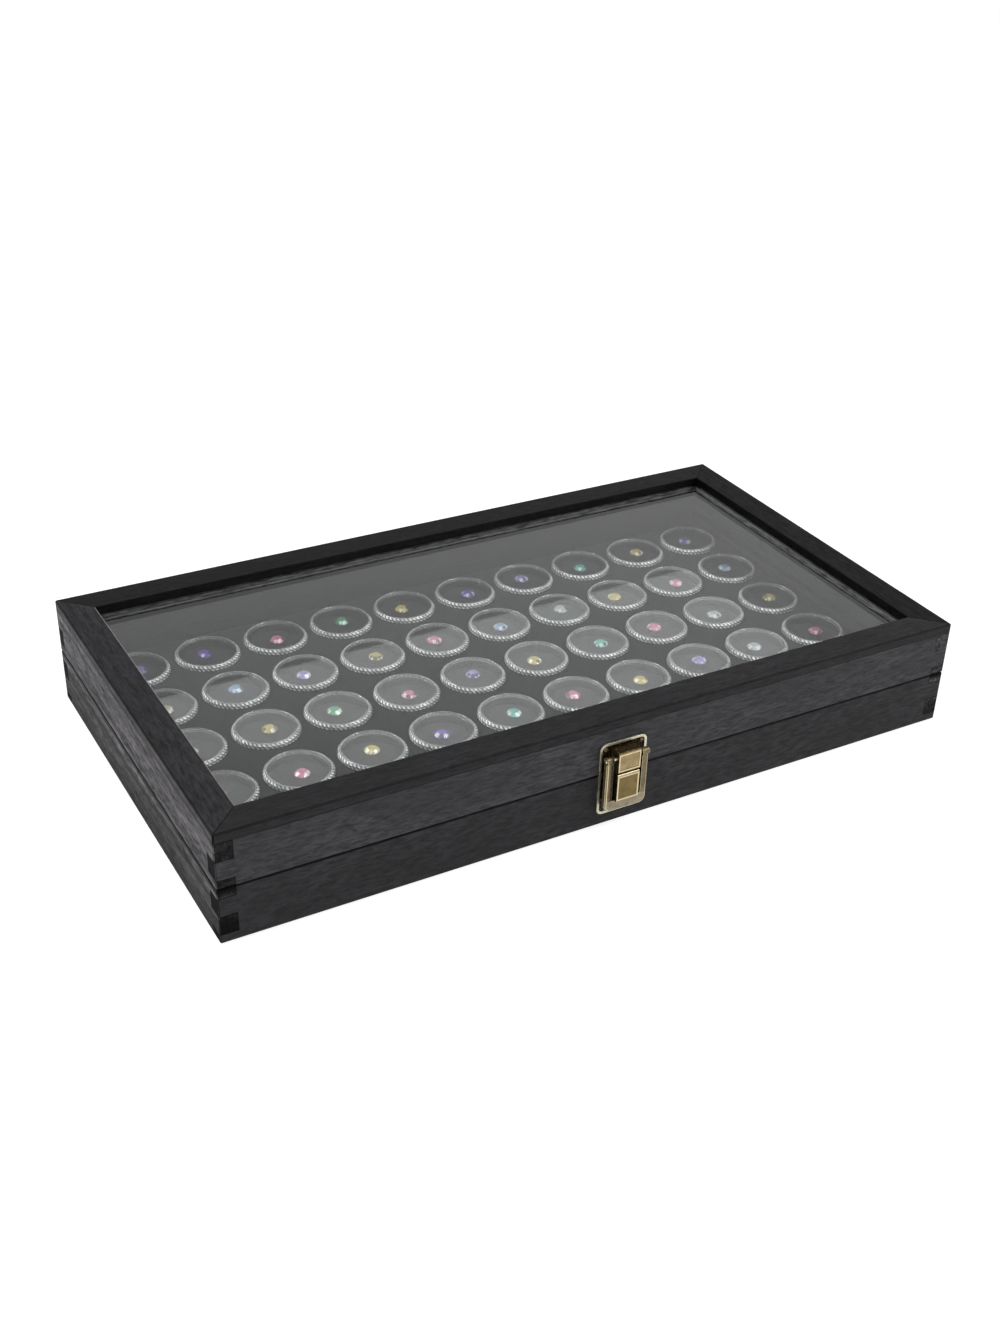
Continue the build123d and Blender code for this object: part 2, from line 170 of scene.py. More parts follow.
def spread(tree, value, low, high, to_low=0.0, to_high=1.0):
    """Stretches the range low to high of a value over another range, and stops at its ends."""
    return add(tree, "MapRange", Value=value, From_Min=low, From_Max=high, To_Min=to_low, To_Max=to_high)


def grain(tree, scale, detail=3.0, roughness=0.55, stretch=(1, 1, 1), piece_number=None, distortion=0.0):
    """Noise on the object's own coordinates. stretch above 1 packs the noise closer along that axis."""
    place = add(tree, "TexCoord", "Object")
    place = add(tree, "Mapping", settings={"vector_type": "POINT"}, Vector=place, Scale=stretch)
    inputs = {
        "Vector": place, "Scale": scale, "Detail": detail, "Roughness": roughness, "Distortion": distortion,
    }
    if piece_number is None:
        return add(tree, "TexNoise", **inputs)
    return add(tree, "TexNoise", settings={"noise_dimensions": "4D"}, W=piece_number, **inputs)


def greys(tree, value, stops, blueness=1.0):
    """A grey that follows a value from 0 to 1 through (value, level) stops."""
    node = tree.nodes.new("ShaderNodeValToRGB")
    put(tree, node.inputs[0], value)
    elements = node.color_ramp.elements
    for place, level in stops:
        stop = elements[0] if place == 0 else elements[-1] if place == 1 else elements.new(place)
        stop.color = (level, level, level * blueness, 1)
    return node.outputs[0]


def marked(tree, name):
    """A number that the mesh itself carries, such as how worn a face is."""
    return add(tree, "Attribute", "Fac", settings={"attribute_name": name})


def bumped(tree, height, distance, strength=1.0):
    """A surface direction that follows a height, given in metres between its lowest and highest."""
    return add(tree, "Bump", Strength=strength, Distance=distance, Height=height)


def finish(name, **inputs):
    """A new finish with its inputs. Returns the material, its node tree and its Principled shader."""
    material = bpy.data.materials.new(name)
    material.use_nodes = True
    tree = material.node_tree
    shader = tree.nodes["Principled BSDF"]
    put_all(tree, shader, **inputs)
    return material, tree, shader


print("helpers ready")

# %% [markdown]
# ## Light and floor
#
# The object was photographed on white. Three things make its look. A pale room shows in the glass, brighter
# low down than overhead, because a sheet of white paper rises behind the object and ends above it. The
# white floor shows in the front and left faces. And two soft lamps, high at the back left and the front
# right, give each stone its bright spots and each rim its bright dashes, because a mirror that small only
# shows a lamp where it faces half way between lamp and viewer; the stones' facets and the skirts of the
# lids add painted highlights of their own. The room is a gradient by height only, so the case looks alike
# from every side. The floor glows a little by itself, as a light table does, because a floor that is only
# lit would fade to grey at the picture's edges.

# %% Room
ROOM_LEVELS = ((0.0, 1.0), (0.34, 0.92), (0.39, 0.66), (0.46, 0.65), (0.53, 0.58), (0.60, 0.42), (1.0, 0.34))
room = bpy.data.worlds.new("room")
scene.world = room
room.use_nodes = True
tree = room.node_tree
direction = add(tree, "TexCoord", "Generated")
height = add(tree, "SeparateXYZ", "Z", Vector=direction)
put_all(tree, tree.nodes["Background"], Color=greys(tree, height, ROOM_LEVELS, blueness=1.01))
print("room:", len(ROOM_LEVELS), "levels")

# %% Lamps
def soft_lamp(name, place, watts, width=0.7):
    """A square lamp at a place, turned to the case."""
    light = bpy.data.lights.new(name, "AREA")
    light.size = width
    light.energy = watts
    lamp = bpy.data.objects.new(name, light)
    scene.collection.objects.link(lamp)
    lamp.location = place
    lamp.rotation_euler = Vector(place).to_track_quat("Z", "Y").to_euler()


soft_lamp("left_lamp", (-0.99, 0.53, 1.14), watts=13)
soft_lamp("right_lamp", (0.74, -0.70, 1.23), watts=12)
print("lamps:", len(bpy.data.lights))

# %% Floor and how far light is followed
FLOOR_REACH, FLOOR_DROP = 12, 0.2 * MM
LIGHT_PASSES = 24
bm = bmesh.new()
bmesh.ops.create_grid(bm, x_segments=1, y_segments=1, size=FLOOR_REACH)
bmesh.ops.translate(bm, verts=bm.verts, vec=(0, 0, -FLOOR_DROP))
mesh = bpy.data.meshes.new("floor")
bm.to_mesh(mesh)
bm.free()
floor = bpy.data.objects.new("floor", mesh)
scene.collection.objects.link(floor)
material, tree, shader = finish("white_table", Roughness=0.8, Specular_IOR_Level=0.1, Emission_Strength=0.75)
paper = spread(tree, grain(tree, 40, 2), 0.3, 0.7, 0.42, 0.44)
colour = add(tree, "CombineColor", Red=paper, Green=paper, Blue=paper)
put_all(tree, shader, Base_Color=colour, Emission_Color=(1, 1, 1))
floor.data.materials.append(material)
floor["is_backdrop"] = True

scene.view_settings.view_transform = "Standard"
scene.cycles.use_denoising = True
scene.cycles.max_bounces = LIGHT_PASSES
scene.cycles.transmission_bounces = LIGHT_PASSES
scene.cycles.transparent_max_bounces = LIGHT_PASSES
scene.cycles.sample_clamp_indirect = 6
print("floor:", 2 * FLOOR_REACH, "m across")

# %% [markdown]
# ## From mesh to piece
#
# Each piece is built as an editable mesh and then handed over: it gets its finish, its smooth faces, the
# body that it moves with and the CAD nodes that it stands for. Edges sharper than the given angle stay
# crisp, and the rest are shaded as one round surface. On a board, a narrow round next to a wide face would
# bend the light over the whole face, so there the wide faces are given all the say in how their edges are
# shaded.

# %% Helpers for pieces
FLAT_SIDED = {"smooth": 60, "flat_faces": True}


def hand_over(bm, name, body, finishes, nodes, slot, smooth=35, flat_faces=False):
    """Makes an object from a mesh, which moves with a body and replaces CAD nodes."""
    mesh = bpy.data.meshes.new(name)
    bm.to_mesh(mesh)
    bm.free()
    for material in finishes:
        mesh.materials.append(material)
    mesh.shade_smooth()
    mesh.set_sharp_from_angle(angle=math.radians(smooth))
    piece = bpy.data.objects.new(name, mesh)
    scene.collection.objects.link(piece)
    if flat_faces:
        weighted = piece.modifiers.new("large faces stay flat", "WEIGHTED_NORMAL")
        weighted.keep_sharp = True
        weighted.weight = 100
    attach(piece, body)
    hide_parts(*nodes)
    return piece


def everything(bm):
    return [*bm.verts, *bm.edges, *bm.faces]


def sawn_through(bm, place, across):
    """Splits the faces along a plane, so that its two sides can carry different marks."""
    bmesh.ops.bisect_plane(bm, geom=everything(bm), dist=MERGE, plane_co=place, plane_no=across)


def swung(bm, verts, angle, axis):
    """Turns points about one of the three axes."""
    bmesh.ops.rotate(bm, verts=verts, cent=(0, 0, 0), matrix=Matrix.Rotation(angle, 3, axis))


def shifted(bm, verts, by):
    bmesh.ops.translate(bm, verts=verts, vec=by)


def merged_copy(node):
    """A copy of a CAD node's mesh, with its loose triangles joined and its flat faces whole."""
    bm = bmesh.new()
    bm.from_mesh(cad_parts[node].data)
    bmesh.ops.remove_doubles(bm, verts=bm.verts, dist=MERGE)
    bmesh.ops.dissolve_limit(bm, angle_limit=math.radians(0.5), verts=bm.verts, edges=bm.edges)
    return bm


def soften(bm, width, segments=2, sharper_than=20, only=None):
    """Rounds the outer edges of a mesh, or those whose ends pass a test, and marks the new faces as worn."""
    wear_and_glint, = marks_on(bm, "wear_and_glint")
    edges = [
        edge for edge in bm.edges
        if edge.is_manifold and edge.calc_face_angle_signed(0) > math.radians(sharper_than)
        and (only is None or all(only(v.co) for v in edge.verts))
    ]
    made = bmesh.ops.bevel(
        bm, geom=edges, offset=width, offset_type="OFFSET", affect="EDGES",
        segments=segments, profile=0.5, material=-1, clamp_overlap=True,
    )
    for face in made["faces"]:
        face[wear_and_glint] = 1.0
    return bm


def marks_on(bm, *names):
    """The mesh's own numbers for the finish, made where they are missing."""
    return [bm.faces.layers.float.get(name) or bm.faces.layers.float.new(name) for name in names]


def in_metres(*pairs):
    """Pairs given in millimetres, such as (radius, height) along half of a round piece's outline."""
    return [(first * MM, second * MM) for first, second in pairs]


def turned(profile, segments):
    """A round piece from half of its outline, as (radius, height) pairs, from axis to axis for a solid."""
    bm = bmesh.new()
    points = [bm.verts.new((radius, 0, height)) for radius, height in profile]
    edges = [bm.edges.new(pair) for pair in zip(points, points[1:])]
    bmesh.ops.spin(
        bm, geom=points + edges, cent=(0, 0, 0), axis=(0, 0, 1), angle=math.tau, steps=segments,
        use_merge=True,
    )
    bmesh.ops.remove_doubles(bm, verts=bm.verts, dist=MERGE)
    bmesh.ops.recalc_face_normals(bm, faces=bm.faces)
    return bm


def copied_to(one, places):
    """One mesh that holds a copy of another at each place, turned by an angle about its own upright axis."""
    mesh = bpy.data.meshes.new("pattern")
    one.to_mesh(mesh)
    one.free()
    bm = bmesh.new()
    for place, angle in places:
        before = len(bm.verts)
        bm.from_mesh(mesh)
        bm.verts.ensure_lookup_table()
        new = bm.verts[before:]
        swung(bm, new, angle, "Z")
        shifted(bm, new, place)
    bpy.data.meshes.remove(mesh)
    return bm


print("helpers ready")

# %% [markdown]
# ## Black-stained wood
#
# The boards are a light hardwood under a thin black stain, so the grain still shows as paler streaks along
# each board, a few millimetres long and about a millimetre wide, with fine open pores between them. Ends of
# boards drink more stain and come out darker, without streaks. The two side boards are cut differently: on
# them the grain runs in long strips, pale and dark by turns, from the underside to the top, and the pale
# lines beside the seam and under the top edge are painted highlights of the lamp on the left. The finish is
# satin: it mirrors the white floor weakly. A picture of wood would repeat from board to board. Here a noise
# is stretched along the board instead, and each board carries a number that moves the noise on, so no two
# boards are alike, while the lid and the base, which were sawn from one box, keep one grain across the
# seam.

# %% The strips on the side boards, with painted highlights beside the seam and under the top
CASE_HEIGHT_MM = 54
# Height in mm and paleness; 23.4, 28.8 and 52 are painted highlights beside the seam and under the top.
STRIP_AND_HIGHLIGHT_LEVELS = (
    (0, 0), (4, 0.05), (8, 0.12), (11, 0.18), (14, 0.40), (19, 0.06), (23.4, 0.78), (25.6, 0.06), (27, 0.05),
    (28.8, 0.60), (32, 0.28), (36, 0.62), (40, 0.64), (44, 0.38), (47, 0.70), (49.5, 0.50), (52, 1.0),
    (54, 0.55),
)


def strips_and_highlights(tree, clouds):
    """How pale a side board is at each height, as grain strips and painted highlights, with borders that
    wander a little.
    """
    height = add(tree, "SeparateXYZ", "Z", Vector=add(tree, "TexCoord", "Object"))
    height = maths(tree, "DIVIDE", height, CASE_HEIGHT_MM * MM)
    wander = spread(tree, clouds, 0.3, 0.7, -0.012, 0.012)
    stops = [(place / CASE_HEIGHT_MM, level) for place, level in STRIP_AND_HIGHLIGHT_LEVELS]
    return greys(tree, maths(tree, "ADD", height, wander), stops)


print("strips:", len(STRIP_AND_HIGHLIGHT_LEVELS))

# %% The wood's finish
def stained_wood(name, along, ground, streak, gloss, shortness, in_strips_and_highlights=False):
    """Black-stained wood with its grain along X or Y, from a ground colour to that of its palest streaks."""
    material, tree, shader = finish(name, Specular_IOR_Level=gloss)
    number = marked(tree, "board")

    def stretched(length, across):
        return (length, across, across) if along == "X" else (across, length, across)

    streaks = grain(tree, 1, 5, 0.65, stretched(shortness, 430), number, 0.9)
    dabs = grain(tree, 1, 3, 0.6, stretched(170, 620), number, 0.5)
    pores = grain(tree, 1, 3, 0.7, stretched(150, 2300), number)
    clouds = grain(tree, 1, 3, 0.6, stretched(16, 48), number, 0.4)
    lines = maths(tree, "ADD", times(tree, streaks, 0.5), times(tree, dabs, 0.5))
    stain_and_painted_light = marked(tree, "stain_and_painted_light")
    # On the side boards the stain follows the strips, painted highlights included.
    if in_strips_and_highlights:
        stain_and_painted_light = times(tree, stain_and_painted_light, strips_and_highlights(tree, clouds))
    pale = times(tree, spread(tree, lines, 0.42, 0.59), spread(tree, clouds, 0.28, 0.72, 0.2, 1.0))
    end = marked(tree, "end_grain")
    dark = blended(tree, stain_and_painted_light, (0.002, 0.002, 0.0023), ground)
    shown = times(tree, pale, times(tree, stain_and_painted_light, marked(tree, "figure")))
    colour = blended(tree, shown, dark, streak)
    pore = spread(tree, pores, 0.56, 0.70)
    colour = blended(tree, times(tree, pore, 0.75), colour, (0.003, 0.003, 0.003))
    colour = blended(tree, times(tree, end, 0.97), colour, (0.0025, 0.0025, 0.0028))
    # Pale grey where the beads are greyer, and painted light: highlights on the left rail's inner round and
    # on the beads.
    paler_share = times(tree, marked(tree, "wear_and_glint"), spread(tree, lines, 0.40, 0.58, 0.15, 0.9))
    colour = blended(tree, paler_share, colour, (0.20, 0.195, 0.20))
    rough = maths(tree, "ADD", spread(tree, lines, 0.35, 0.65, 0.56, 0.42), times(tree, pore, 0.25))
    rough = maths(tree, "ADD", rough, times(tree, end, 0.3))
    relief = maths(tree, "SUBTRACT", lines, times(tree, pore, 0.5))
    put_all(tree, shader, Base_Color=colour, Roughness=rough, Normal=bumped(tree, relief, 0.2 * MM))
    return material


wood_x = stained_wood(
    "black_wood_along_x", "X", ground=(0.0260, 0.0250, 0.0270), streak=(0.104, 0.097, 0.107), gloss=0.10,
    shortness=110,
)
wood_y = stained_wood(
    "black_wood_along_y", "Y", ground=(0.041, 0.039, 0.042), streak=(0.250, 0.234, 0.249), gloss=0.035,
    shortness=50, in_strips_and_highlights=True,
)
print("wood:", wood_x.name, wood_y.name)

# %% [markdown]
# ## Boards, rails and beads
#
# A board's shape is already right in the CAD model, down to its finger joints. What a real board has
# besides is an edge that was rubbed with sandpaper. Where two boards meet, the two rounds make the fine
# dark groove by which the eye finds the joint, and at the seam, under the beads and round the opening the
# rounds are a little wider. The beads took less stain and are greyer, and their grey is set higher or
# lower as painted light and shade: the back bead is darker on its top and on the upper half of its face
# and paler on the lower half. The rails carry painted shade by side, darker at the back and right and paler
# at the left, and the left rail's inner round a painted highlight. So each board is a copy of its node with
# the outer edges rounded, and each face carries marks that tell the finish what it is: how much stain it
# took, with that painted shade, how strongly its grain shows, how pale it is painted, whether it is an end.
# Where fingers of the front and back boards come through to a side, they look as the side does.

# %% Wooden pieces, how much stain each took, and painted shade on the rails
SIDES = ("front", "back", "left", "right")
wooden = [(f"{part}_{side}_board", part) for part in ("base", "lid") for side in SIDES]
wooden += [(f"lid_{side}_rail", "lid") for side in SIDES]
wooden += [(f"glass_{side}_bead", "lid") for side in SIDES]
stain_and_rail_shade = {node: 0.9 if body == "lid" else 0.47 for node, body in wooden}
stain_and_rail_shade |= {node: 1.0 for node, body in wooden if node.endswith(("left_board", "right_board"))}
# The rails' levels are painted shade by side: the back and right rails darker, the left one paler, as the
# light falls.
stain_and_rail_shade |= {"lid_front_rail": 0.42, "lid_left_rail": 0.74, "lid_back_rail": 0.01, "lid_right_rail": 0.25}
end_darkness = {"front": 0.95, "back": 0.9, "left": 0.82, "right": 0.35}
grain_numbers = {"board": 0, "rail": 20, "bead": 40}
print("wooden pieces:", len(wooden))

# %% Where the wider rounds are
SEAM, UNDER_BEADS, BEAD_MIDDLE, TOP = 27.0 * MM, 43.5 * MM, 45.0 * MM, 54.0 * MM
OPENING_X, OPENING_Y = 172.325 * MM, 89.775 * MM
NEAR, SIDE_FROM = 0.05 * MM, 185.0 * MM


def at_seam(point):
    return abs(point.z - SEAM) < NEAR


def under_bead(point):
    return abs(point.z - UNDER_BEADS) < NEAR


def round_opening(point):
    return point.z > TOP - NEAR and abs(point.x) < OPENING_X + NEAR and abs(point.y) < OPENING_Y + NEAR


EDGE_ROUND = 0.24 * MM
widest_round = {
    "board": (0.42 * MM, at_seam), "rail": (0.5 * MM, round_opening), "bead": (0.8 * MM, under_bead),
}
print("widest rounds in mm:", {family: round(pair[0] / MM, 2) for family, pair in widest_round.items()})

# %% Marks for the wood's finish
def stain_and_shade_on(node, rounded, inside):
    """How pale a face's stain is, with painted shade by side on the rails. Rounds are dark, as is most of
    what looks into the case.
    """
    family = node.split("_")[2]
    if family == "board" and inside:
        return 0.25 * stain_and_rail_shade[node]
    return 0.0 if rounded or (family == "rail" and inside) else stain_and_rail_shade[node]


def grey_and_painted_light_on(node, face, middle, rounded):
    """How pale grey a face is painted: the beads' grey set by painted light and shade, and a painted
    highlight on the left rail's inner round.
    """
    _, side, family = node.split("_")
    if family == "bead":
        # Bead tops and rounds are painted brighter than those of the back bead, which gets less light.
        if face.normal.z > 0.8 or (rounded and face.normal.z > -0.5):
            return 1.0 if side == "back" else 2.5
        if rounded:
            return 2.5
        # The back bead's face: painted shade on its upper half, painted light on its lower half.
        return 1.2 if side != "back" else 0.5 if middle.z > BEAD_MIDDLE else 2.0
    # The left rail's inner round gets a painted highlight, a glint of the lamp on the left.
    by_opening = middle.z > TOP - 0.5 * MM and abs(middle.x) < OPENING_X + 0.5 * MM
    return 3.0 if node == "lid_left_rail" and rounded and by_opening else 0.0


def mark_wood(bm, node):
    """Gives each face of a wooden piece its marks, and the side boards' finish where it lies on a side."""
    _, side, family = node.split("_")
    wear_and_glint, number, end, stain_and_painted_light, figure = marks_on(bm, "wear_and_glint", "board", "end_grain", "stain_and_painted_light", "figure")
    along = 0 if side in ("front", "back") else 1
    outwards = 1 if side in ("back", "right") else -1
    for face in bm.faces:
        middle = face.calc_center_median()
        rounded = face[wear_and_glint] > 0
        is_end = abs(face.normal[along]) > 0.8
        inside = face.normal[1 - along] * outwards < -0.8
        face[number] = 3.7 * SIDES.index(side) + grain_numbers[family]
        face[end] = end_darkness[side] if is_end else 0.0
        face[figure] = 0.28 if family == "rail" else 0.5 if along == 0 else 1.0
        face[stain_and_painted_light] = stain_and_shade_on(node, rounded, inside)
        face[wear_and_glint] = grey_and_painted_light_on(node, face, middle, rounded)
        face.material_index = int(family == "board" and along == 0 and is_end and abs(middle.x) > SIDE_FROM)


print("marks for wood ready")

# %% Boards, rails and beads
for node, body in wooden:
    _, side, family = node.split("_")
    bm = merged_copy(node)
    width, chosen = widest_round[family]
    soften(bm, width, 3, only=chosen)
    soften(bm, EDGE_ROUND, sharper_than=40)
    # Beads are split at half height, so the back bead's halves can take their painted shade and light.
    if family == "bead":
        sawn_through(bm, (0, 0, BEAD_MIDDLE), (0, 0, 1))
    mark_wood(bm, node)
    finishes = [wood_y] if side in ("left", "right") else [wood_x, wood_y] if family == "board" else [wood_x]
    hand_over(bm, f"{node}_sanded", body, finishes, [node], "black_wood", **FLAT_SIDED)
print("wood ready")

# %% [markdown]
# ## The bottom panel
#
# The bottom is a thin sheet of plywood in a rebate, which only shows when the case is turned over. It is
# left unstained on the underside of such cases, with a pale face veneer that has long quiet streaks.

# %% Bottom panel
plywood, tree, shader = finish("bottom_plywood", Roughness=0.75, Specular_IOR_Level=0.25)
veneer = grain(tree, 1, 4, 0.6, (10, 210, 210), distortion=0.6)
flecks = grain(tree, 1, 2, 0.6, (70, 1700, 1700))
colour = blended(tree, spread(tree, veneer, 0.35, 0.7), (0.30, 0.19, 0.105), (0.46, 0.33, 0.20))
fleck = times(tree, spread(tree, flecks, 0.6, 0.72), 0.5)
colour = blended(tree, fleck, colour, (0.17, 0.10, 0.055))
relief = maths(tree, "SUBTRACT", veneer, fleck)
put_all(tree, shader, Base_Color=colour, Normal=bumped(tree, relief, 0.06 * MM))
bm = soften(merged_copy("base_bottom_panel"), 0.15 * MM)
hand_over(
    bm, "bottom_panel_veneered", "base", [plywood], ["base_bottom_panel"], "bottom_plywood", **FLAT_SIDED,
)
print("bottom panel ready")

# %% [markdown]
# ## The pane
#
# The pane is clear float glass, 3 mm thick, with its cut edges ground dull. Glass in a renderer stops the
# light of lamps, because they only look along straight lines. So for the rays that ask whether a lamp is
# seen, the pane is plain see-through, and for all others it is real glass that mirrors the room. The other
# way is to leave the pane out, but the grey veil that it lays over everything below is half of this
# object's look.

# %% Glass
def see_through(name, colour, shade, ior, roughness=0.0, clear=1.0):
    """Glass or clear plastic that lets lamps shine through it, as much of their light as shade says."""
    material, tree, shader = finish(
        name, Base_Color=colour, Transmission_Weight=clear, IOR=ior, Roughness=roughness,
    )
    lamp_ray = add(tree, "LightPath", "Is Shadow Ray")
    open_way = add(tree, "BsdfTransparent", Color=shade)
    both = tree.nodes.new("ShaderNodeMixShader")
    put(tree, both.inputs[0], lamp_ray)
    put(tree, both.inputs[1], shader.outputs[0])
    put(tree, both.inputs[2], open_way)
    put_all(tree, tree.nodes["Material Output"], Surface=both.outputs[0])
    return material, tree, shader


clear_glass = see_through("pane_glass", (0.97, 0.985, 0.975), (0.90, 0.92, 0.91), 1.5)[0]
ground_glass, tree, shader = finish("ground_glass_edge", Transmission_Weight=0.6, IOR=1.5)
frost = grain(tree, 2500, 3, 0.6)
colour = blended(tree, frost, (0.35, 0.52, 0.44), (0.62, 0.76, 0.70))
put_all(tree, shader, Base_Color=colour, Roughness=spread(tree, frost, 0.3, 0.7, 0.45, 0.7))
bm = soften(merged_copy("glass_pane"), 0.3 * MM)
for face in bm.faces:
    face.material_index = 0 if abs(face.normal.z) > 0.99 else 1
hand_over(
    bm, "pane_with_ground_edges", "lid", [clear_glass, ground_glass], ["glass_pane"], "pane_glass", smooth=1,
)
print("pane ready")

# %% [markdown]
# ## Where the jars stand
#
# The jars stand in ten columns and five rows, centred in the case. All that repeats with them, wells, cups,
# lids and pads, uses this one list, so that they stay in line.

# %% Jar places
COLUMNS, ROWS = 10, 5
PITCH_X, PITCH_Y = 35.5 * MM, 37.8 * MM


def jar_place(row, column):
    """Where a jar stands, counted from the back left, and how far it is turned."""
    x = (column - (COLUMNS - 1) / 2) * PITCH_X
    y = ((ROWS - 1) / 2 - row) * PITCH_Y
    return Vector((x, y, 0)), column * 0.7 + row * 1.9


jar_places = [jar_place(row, column) for row in range(ROWS) for column in range(COLUMNS)]
print("jars:", len(jar_places))

# %% [markdown]
# ## The foam block
#
# The block is charcoal foam with round wells punched in it. Punched foam has a slightly rolled lip and a
# fine open skin, matt and nearly black. One well is made as a sleeve with a rolled lip and a floor, and
# copied to every place. The top skin is then filled between the fifty lips and the outline in one go, and
# the outline is drawn down to the underside. Cutting fifty holes with booleans would give the same block,
# only slower and with ragged edges.

# %% Foam finish
foam, tree, shader = finish("charcoal_foam", Roughness=0.95, Specular_IOR_Level=0.15)
cells = grain(tree, 1500, 2, 0.6)
patches = grain(tree, 45, 3)
speckle = times(tree, spread(tree, cells, 0.35, 0.7), spread(tree, patches, 0.3, 0.7, 0.7, 1.0))
colour = blended(tree, speckle, (0.005, 0.005, 0.0055), (0.019, 0.019, 0.021))
put_all(tree, shader, Base_Color=colour, Normal=bumped(tree, cells, 0.25 * MM))
print("foam finish:", foam.name)

# %% Foam block
low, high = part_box("foam_insert")
WELL_RADIUS, WELL_FLOOR_Z, AROUND = 15.9 * MM, 4.5 * MM, 48
LIP, LIP_STEP, BLOCK_CORNER = 0.5 * MM, 0.15 * MM, 1.5 * MM
profile = [(0, WELL_FLOOR_Z), (WELL_RADIUS, WELL_FLOOR_Z), (WELL_RADIUS, high.z - LIP)]
profile += [(WELL_RADIUS + LIP_STEP, high.z - LIP_STEP), (WELL_RADIUS + LIP, high.z)]
bm = copied_to(turned(profile, AROUND), [(place, 0) for place, _ in jar_places])
lips = [edge for edge in bm.edges if edge.is_boundary]
around = ((low.x, low.y), (high.x, low.y), (high.x, high.y), (low.x, high.y))
corners = [bm.verts.new((x, y, high.z)) for x, y in around]
outline = [bm.edges.new((corners[k], corners[(k + 1) % 4])) for k in range(4)]
bmesh.ops.triangle_fill(bm, use_beauty=True, edges=lips + outline)
side = bmesh.ops.extrude_edge_only(bm, edges=outline)
bottom = [item for item in side["geom"] if isinstance(item, bmesh.types.BMVert)]
shifted(bm, bottom, (0, 0, low.z - high.z))
bmesh.ops.contextual_create(bm, geom=[edge for edge in bm.edges if edge.is_boundary])
bmesh.ops.recalc_face_normals(bm, faces=bm.faces)
rounded = [
    edge for edge in bm.edges
    if all(abs(v.co.x) > high.x - TOUCH and abs(v.co.y) > high.y - TOUCH for v in edge.verts)
]
bmesh.ops.bevel(bm, geom=rounded, offset=BLOCK_CORNER, affect="EDGES", segments=4, profile=0.5, material=-1)
print("foam block faces:", len(bm.faces), "open edges:", sum(edge.is_boundary for edge in bm.edges))
block = hand_over(
    bm, "foam_block", "insert", [foam], ["foam_insert"], "insert_foam", smooth=50, flat_faces=True,
)

# %% [markdown]
# ## Clear jars
#
# A gem jar is moulded in clear plastic: a plain cup and a lid whose skirt grips the cup's rim. Seen from
# above, the lid is what shows, and the bright ring round it is its bevelled rim, which bends the white room
# into view. The rim has fine slanted ridges for the fingers, which break its shine into dashes. The skirt's
# colour also paints highlights in: a bright line at its foot and a bright upper bevel with a dark band
# between, broken into painted dashes along the ridges. Both are turned from a real outline, with walls, a
# plug ring under the lid, and a rim that rises from a small foot. A disc with a shiny finish would be
# lighter, but it has no inside and so none of those rings. Ridges are too many to model on fifty lids, so
# each lid carries a map of the way round it, and the finish raises a wave along that map.

# %% Plastic finish
RIDGES = 46
RIDGE_SLANT = 1.9 * MM


def jar_plastic(name, ior):
    """Clear moulded plastic, with the faint waves that it froze with."""
    material, tree, shader = see_through(name, (0.985, 0.99, 0.985), (0.92, 0.93, 0.93), ior, 0.015)
    flow = grain(tree, 55, 2, 0.5, distortion=0.8)
    put_all(tree, shader, Normal=bumped(tree, flow, 0.02 * MM))
    return material


cup_plastic = jar_plastic("clear_cup_plastic", 1.55)
lid_plastic = jar_plastic("clear_lid_plastic", 1.85)
rim_plastic, tree, shader = finish("hazy_rim_plastic", Transmission_Weight=0.75, IOR=1.6)
haze = grain(tree, 500, 3, 0.6)
colour = blended(tree, spread(tree, haze, 0.35, 0.6), (0.62, 0.63, 0.63), (0.98, 0.98, 0.98))
rough = spread(tree, haze, 0.3, 0.7, 0.06, 0.2)
put_all(tree, shader, Base_Color=colour, Roughness=rough, Normal=bumped(tree, haze, 0.03 * MM))

skirt_plastic, tree, shader = finish("ridged_skirt_plastic", Transmission_Weight=0.2, IOR=2.0)
around_rim = add(tree, "SeparateXYZ", "X", Vector=add(tree, "UVMap", settings={"uv_map": "around the rim"}))
height = add(tree, "SeparateXYZ", "Z", Vector=add(tree, "TexCoord", "Object"))
slanted = times(tree, height, math.tau / RIDGE_SLANT)
ridges = maths(tree, "SINE", maths(tree, "ADD", times(tree, around_rim, RIDGES * math.tau), slanted))
haze = grain(tree, 260, 3, 0.6)
# The skirt's colour is painted highlight: bright at the foot and over the upper bevel, dark between, in
# dashes by the ridges.
foot = spread(tree, height, 21.65 * MM, 21.85 * MM, 1.0, 0.0)
painted_stripes = maths(tree, "MAXIMUM", foot, spread(tree, height, 22.3 * MM, 22.5 * MM))
painted_dashes = times(tree, spread(tree, ridges, -0.1, 0.2, 0.08, 1.0), spread(tree, haze, 0.42, 0.53, 0.45, 1.0))
colour = blended(tree, times(tree, painted_stripes, painted_dashes), (0.08, 0.085, 0.085), (0.88, 0.88, 0.89))
rough = spread(tree, haze, 0.3, 0.7, 0.05, 0.14)
put_all(tree, shader, Base_Color=colour, Roughness=rough, Normal=bumped(tree, ridges, 0.13 * MM))
print("ridges on a rim:", RIDGES)

# %% Cups and lids
cup_outline = in_metres(
    (0, 4.5), (15.1, 4.5), (15.45, 4.65), (15.6, 5.0), (15.6, 21.65), (15.5, 21.8), (14.5, 21.8),
    (14.4, 21.65), (14.4, 6.3), (13.9, 5.7), (13.5, 5.7), (0, 5.7),
)
cups = copied_to(turned(cup_outline, AROUND), jar_places)
hand_over(cups, "moulded_cups", "insert", [cup_plastic], ["jar_cups"], "jar_plastic")

